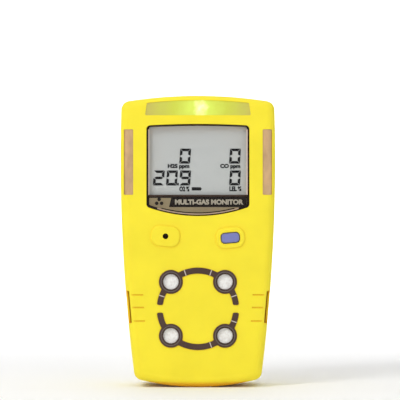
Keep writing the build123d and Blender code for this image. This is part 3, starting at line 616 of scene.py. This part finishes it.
def segment_shapes(left, bottom):
    """The seven strokes of a digit by letter, as lists of points."""
    w, h, s, gap = DIGIT_WIDTH, DIGIT_HEIGHT, STROKE, STROKE_GAP
    middle = h / 2
    shapes = {
        "a": [(gap, h), (w - gap, h), (w - s - gap, h - s), (s + gap, h - s)],
        "d": [(gap, 0), (s + gap, s), (w - s - gap, s), (w - gap, 0)],
        "f": [(0, h - gap), (s, h - s - gap), (s, middle + s / 2 + gap), (0, middle + gap)],
        "e": [(0, gap), (0, middle - gap), (s, middle - s / 2 - gap), (s, s + gap)],
        "b": [(w, h - gap), (w, middle + gap), (w - s, middle + s / 2 + gap), (w - s, h - s - gap)],
        "c": [(w, gap), (w - s, s + gap), (w - s, middle - s / 2 - gap), (w, middle - gap)],
        "g": [
            (gap + s / 3, middle),
            (s + gap, middle + s / 2),
            (w - s - gap, middle + s / 2),
            (w - gap - s / 3, middle),
            (w - s - gap, middle - s / 2),
            (s + gap, middle - s / 2),
        ],
    }
    return {k: [(left + x + DIGIT_LEAN * z, bottom + z) for x, z in points] for k, points in shapes.items()}


def reading(name, digits, right, bottom, y, point_after=None):
    """A number on the display, with its last digit ending at right."""
    outlines = []
    for place_back, digit in enumerate(reversed(digits)):
        left = right - DIGIT_WIDTH - DIGIT_LEAN * DIGIT_HEIGHT - place_back * DIGIT_PITCH
        strokes = segment_shapes(left, bottom)
        outlines += [strokes[letter] for letter in SEGMENTS[digit]]
        if place_back == point_after:
            x = left - (DIGIT_PITCH - DIGIT_WIDTH) / 2
            outlines.append(box_outline(x - POINT_WIDTH / 2, x + POINT_WIDTH / 2, bottom, bottom + STROKE))
    plate(name, outlines, y, INK_DEPTH, "segment_ink")


def build_display():
    """The four readings, their generic labels and the battery mark, just in front of the display glass."""
    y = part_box("lcd_glass")[0].y - READING_RISE
    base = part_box("lcd_glass")[0].z
    upper, lower = base + UPPER_ROW, base + LOWER_ROW
    reading("reading_hydrogen_sulphide", "0", LEFT_COLUMN_END, upper, y)
    reading("reading_carbon_monoxide", "0", RIGHT_COLUMN_END, upper, y)
    reading("reading_oxygen", "209", LEFT_COLUMN_END, lower, y, point_after=0)
    reading("reading_flammable", "0", RIGHT_COLUMN_END, lower, y)
    for name, words, left, right, bottom, top in LABELS:
        edges = [left * MM, right * MM, base + bottom * MM, base + top * MM]
        lettering(name, words, *edges, y, "segment_ink", "black_plastic")
    bottom, top = base + BATTERY_BOTTOM, base + BATTERY_TOP
    battery = [
        (BATTERY_LEFT, bottom),
        (BATTERY_RIGHT - BATTERY_TIP, bottom),
        (BATTERY_RIGHT, (bottom + top) / 2),
        (BATTERY_RIGHT - BATTERY_TIP, top),
        (BATTERY_LEFT, top),
    ]
    plate("battery_mark", [battery], y, INK_DEPTH, "segment_ink")


# ---------------------------------------------------------------- the printed surround of the display


# Heights over the bottom of the display mask
LIP_TOP = 3.0 * MM
STRIP_BOTTOM = 3.35 * MM
STRIP_TOP = 7.3 * MM
PANEL_TOP = 6.9 * MM
STRIP_LINE_BOTTOM = 7.55 * MM
STRIP_LINE_TOP = 7.85 * MM
EDGE_HIGHLIGHT_BOTTOM = 8.1 * MM

# Distances in from the edge of the display mask
LIP_OUTER = 0.40 * MM
LIP_INNER = 0.90 * MM
LOWER_LINE_INNER = 1.30 * MM
EDGE_HIGHLIGHT_OUTER = 0.6 * MM
EDGE_HIGHLIGHT_INNER = 1.05 * MM
EDGE_HIGHLIGHT_END = 2 * MM
STRIP_LINE_END = 0.8 * MM
PANEL_MARGIN = 0.95 * MM
STRIP_MARGIN = 1.0 * MM

# The badge ends in a slanted edge to the left of the strip, and its dots stand in a ring
BADGE_TOP_X = -10.2 * MM
BADGE_BOTTOM_X = -11.2 * MM
DOT_ANGLES = (90, 210, 330)
DOT_RING_HALF_WIDTH = 1.1 * MM
DOT_RING_HALF_HEIGHT = 1.0 * MM
DOT_RADIUS = 0.68 * MM

# Room round the lettering of the strip
LETTER_ROOM_LEFT = 1.3 * MM
LETTER_ROOM_RIGHT = 1.2 * MM
LETTER_ROOM_ABOVE = 0.95 * MM


def build_window_print():
    """The printed surround of the display: a tan panel with a dark strip and a plain badge, and pale painted
    highlights along its sides.
    """
    outline = front_outline("display_mask")
    low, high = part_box("display_mask")
    base = low.z
    first, second, third = (low.y - n * PRINT_STEP for n in (1, 2, 3))
    thin = PRINT_STEP
    strip_bottom, strip_top = base + STRIP_BOTTOM, base + STRIP_TOP

    # A pale painted highlight of the window's edge, just inside the dark edge, at both sides of the display
    line_bottom, line_top = base + EDGE_HIGHLIGHT_BOTTOM, high.z - EDGE_HIGHLIGHT_END
    left_highlight = box_outline(low.x + EDGE_HIGHLIGHT_OUTER, low.x + EDGE_HIGHLIGHT_INNER, line_bottom, line_top)
    right_highlight = box_outline(high.x - EDGE_HIGHLIGHT_INNER, high.x - EDGE_HIGHLIGHT_OUTER, line_bottom, line_top)
    plate("edge_highlights", [left_highlight, right_highlight], first, thin, "edge_highlight_paint")

    # The tan panel, and a lip along its curved bottom beyond a dark line
    panel = below(inset(outline, PANEL_MARGIN), base + PANEL_TOP)
    plate("tan_panel", [panel], first, thin, "tan_print")
    for name, start, end, y, material in (
        ("lower_lip", LIP_OUTER, LIP_INNER, first, "lip_print"),
        ("lower_line", LIP_INNER, LOWER_LINE_INNER, second, "border_print"),
    ):
        pairs = zip(inset(outline, start), inset(outline, end))
        lower = sorted(pair for pair in pairs if pair[0][1] < base + LIP_TOP)
        outer, inner = zip(*lower)
        band(name, outer, inner, y, thin, material, closed=False)

    # The dark strip with generic lettering, and the badge to its left with a plain mark of three dots
    right = high.x - STRIP_MARGIN
    strip = [
        (BADGE_BOTTOM_X, strip_bottom),
        (right, strip_bottom),
        (right, strip_top),
        (BADGE_TOP_X, strip_top),
    ]
    plate("dark_strip", [strip], second, thin, "border_print")
    letters_left, letters_right = BADGE_TOP_X + LETTER_ROOM_LEFT, right - LETTER_ROOM_RIGHT
    letters_bottom, letters_top = strip_bottom + LETTER_ROOM_ABOVE, strip_top - LETTER_ROOM_ABOVE
    edges = [letters_left, letters_right, letters_bottom, letters_top]
    lettering("strip_lettering", "MULTI-GAS MONITOR", *edges, third, "pale_print", "border_print")
    badge_x = (low.x + STRIP_MARGIN + BADGE_BOTTOM_X) / 2
    badge_z = (strip_top + strip_bottom) / 2
    dots = []
    for degrees in DOT_ANGLES:
        angle = radians(degrees)
        x = badge_x + DOT_RING_HALF_WIDTH * cos(angle)
        z = badge_z + DOT_RING_HALF_HEIGHT * sin(angle)
        dots.append(disc(x, z, DOT_RADIUS))
    plate("badge_mark", dots, second, thin, "border_print")

    # A fine line between the display and the strip
    left, right = low.x + STRIP_LINE_END, high.x - STRIP_LINE_END
    line = box_outline(left, right, base + STRIP_LINE_BOTTOM, base + STRIP_LINE_TOP)
    plate("strip_line", [line], first, thin, "maroon_print")


# ---------------------------------------------------------------- trim ticks and rear label


TICK_RADII = (13.65 * MM, 15.85 * MM)  # where a tick starts and ends, from the middle of the four ports
TICK_ANGLES = (19.5, 70.5, 109.5, 160.5, -19.5, -70.5)
TICK_HALF_WIDTH = 0.16 * MM
FILTER_RADIUS = 3.1 * MM
PORT_RING_RADII = (3.60 * MM, 3.90 * MM)

LABEL_MARGIN = 1.2 * MM
LABEL_LINE = 0.2 * MM
BAR_COUNT = 5
BAR_LEFT = 3.5 * MM  # from the left edge of the label, and the next from its bottom
BAR_BOTTOM = 4 * MM
BAR_PITCH = 4.2 * MM
BAR_HEIGHT = 1.0 * MM
BAR_LENGTHS = (22 * MM, 19 * MM, 16 * MM)


def build_trim_print():
    """Pale lines across the dark sensor trims, and a fine lighter ring round each port as a painted
    highlight.
    """
    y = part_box("upper_sensor_trim")[0].y - PRINT_STEP
    low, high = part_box("sensor_filters")
    middle_z = (low.z + high.z) / 2
    for column, x in (("left", low.x + FILTER_RADIUS), ("right", high.x - FILTER_RADIUS)):
        for row, z in (("lower", low.z + FILTER_RADIUS), ("upper", high.z - FILTER_RADIUS)):
            # Painted highlight: a lighter ring on the dark trim round each port.
            inner, outer = (disc(x, z, radius, steps=48) for radius in PORT_RING_RADII)
            band(f"{row}_{column}_port_ring_highlight", outer, inner, y, PRINT_STEP, "ring_highlight_paint")
    for number, degrees in enumerate(TICK_ANGLES, 1):
        angle = radians(degrees)
        along = Vector((cos(angle), sin(angle)))
        across = Vector((-sin(angle), cos(angle))) * TICK_HALF_WIDTH
        inner, outer = (along * radius for radius in TICK_RADII)
        corners = [inner - across, outer - across, outer + across, inner + across]
        outline = [(p.x, middle_z + p.y) for p in corners]
        plate(f"trim_tick_{number}", [outline], y, INK_DEPTH, "tick_print")


def build_label_print():
    """A plain frame and blank bars on the rear label."""
    low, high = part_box("rear_label")
    y = high.y - PRINT_STEP
    left, right = low.x + LABEL_MARGIN, high.x - LABEL_MARGIN
    outer = box_outline(left, right, low.z + LABEL_MARGIN, high.z - LABEL_MARGIN)
    band("label_frame", outer, inset(outer, LABEL_LINE), y, INK_DEPTH, "border_print")
    bars = []
    bar_left = low.x + BAR_LEFT
    for row in range(BAR_COUNT):
        bottom = low.z + BAR_BOTTOM + row * BAR_PITCH
        length = BAR_LENGTHS[row % len(BAR_LENGTHS)]
        bars.append(box_outline(bar_left, bar_left + length, bottom, bottom + BAR_HEIGHT))
    plate("label_bars", bars, y, INK_DEPTH, "label_ink")


# ---------------------------------------------------------------- pieces copied from CAD nodes


def soft_copy(node, name, slot, body):
    """A piece with the shape of a CAD node, which stands for it while the node is hidden."""
    mesh = frame["nodes"][node].data.copy()
    mesh.materials.clear()
    piece = add_piece(name, mesh, slot, body)
    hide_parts(node)
    return piece


def build_soft_pieces():
    """The boot behind the button, on the case, and the hinge spring, on no body, as copies of their CAD
    nodes.
    """
    boot = soft_copy("button_seal", "button_boot", "grey_rubber", "case")
    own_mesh(boot)

    spring = soft_copy("clip_spring", "hinge_spring", "steel", None)
    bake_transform(spring)


# ---------------------------------------------------------------- stage, lights and camera


def build_stage():
    """A wide pale floor that curves up into a wall behind the detector."""
    floor_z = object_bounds()[0].z
    half_width = 3.0
    front = -3.0
    bend_start = 0.9
    bend = 0.5
    bend_steps = 9
    top = 2.5
    profile = [(front, 0.0)]
    for step in range(bend_steps + 1):
        angle = radians(90 * step / bend_steps)
        profile.append((bend_start + bend * sin(angle), bend * (1 - cos(angle))))
    profile.append((bend_start + bend, top))
    points = [(x, y, floor_z + z) for y, z in profile for x in (-half_width, half_width)]
    faces = [(2 * i, 2 * i + 1, 2 * i + 3, 2 * i + 2) for i in range(len(profile) - 1)]
    mesh = bpy.data.meshes.new("backdrop")
    mesh.from_pydata(points, [], faces)
    mesh.shade_smooth()
    backdrop = bpy.data.objects.new("backdrop", mesh)
    bpy.context.scene.collection.objects.link(backdrop)
    pale = (0.93, 0.93, 0.93)
    material, shader = new_material("backdrop", pale, 0.8)
    tint(material, shader, pale, 0.01, 0.2)
    mesh.materials.append(material)


def add_area_light(name, location, target, size, power, spread=180):
    """A square light that shines at the target, within this many degrees."""
    data = bpy.data.lights.new(name, "AREA")
    data.shape = "SQUARE"
    data.size = size
    data.energy = power
    data.spread = radians(spread)
    light = bpy.data.objects.new(name, data)
    light.location = location
    light.rotation_mode = "QUATERNION"
    light.rotation_quaternion = (Vector(target) - Vector(location)).to_track_quat("-Z", "Y")
    bpy.context.scene.collection.objects.link(light)


def build_lights():
    """A key light at the upper left, a fill and a top light in a pale room, and one light on the backdrop."""
    middle = (cad_low + cad_high) / 2
    add_area_light("key", (-0.55, -0.75, 0.75), middle, size=0.35, power=4.9)
    add_area_light("fill", (0.70, -0.70, 0.30), middle, size=0.7, power=0.6)
    add_area_light("top", (0.0, 0.10, 1.2), middle, size=1.0, power=2.0)
    add_area_light("backdrop", (0.0, 0.45, 1.2), (0.0, 1.2, 0.15), size=0.7, power=6.5, spread=90)
    world = bpy.data.worlds.new("studio")
    world.use_nodes = True
    where = add_node(world, "ShaderNodeTexCoord")
    parts = add_node(world, "ShaderNodeSeparateXYZ")
    link(world, where.outputs["Generated"], parts.inputs["Vector"])
    strength = map_range(world, parts.outputs["Y"], (0.1, 0.9), (0.60, 1.0))
    background = world.node_tree.nodes["Background"]
    background.inputs["Color"].default_value = (1.0, 1.0, 1.0, 1.0)
    link(world, strength, background.inputs["Strength"])
    bpy.context.scene.world = world
    bpy.context.scene.view_settings.view_transform = "Standard"


def build_camera():
    """Straight on from the front, a long lens away, framed as the photograph is."""
    distance = 0.95
    view_width = 154.2 * MM
    view_middle = Vector((0.8 * MM, cad_low.y, 72.4 * MM))
    data = bpy.data.cameras.new("camera")
    data.sensor_width = 36.0
    data.lens = data.sensor_width * distance / view_width
    data.clip_start = 0.01
    camera = bpy.data.objects.new("camera", data)
    camera.location = view_middle - Vector((0.0, distance, 0.0))
    camera.rotation_euler = (radians(90), 0.0, 0.0)
    bpy.context.scene.collection.objects.link(camera)
    bpy.context.scene.camera = camera


dress_frame()
build_display()
build_window_print()
build_trim_print()
build_label_print()
build_soft_pieces()
build_stage()
build_lights()
build_camera()
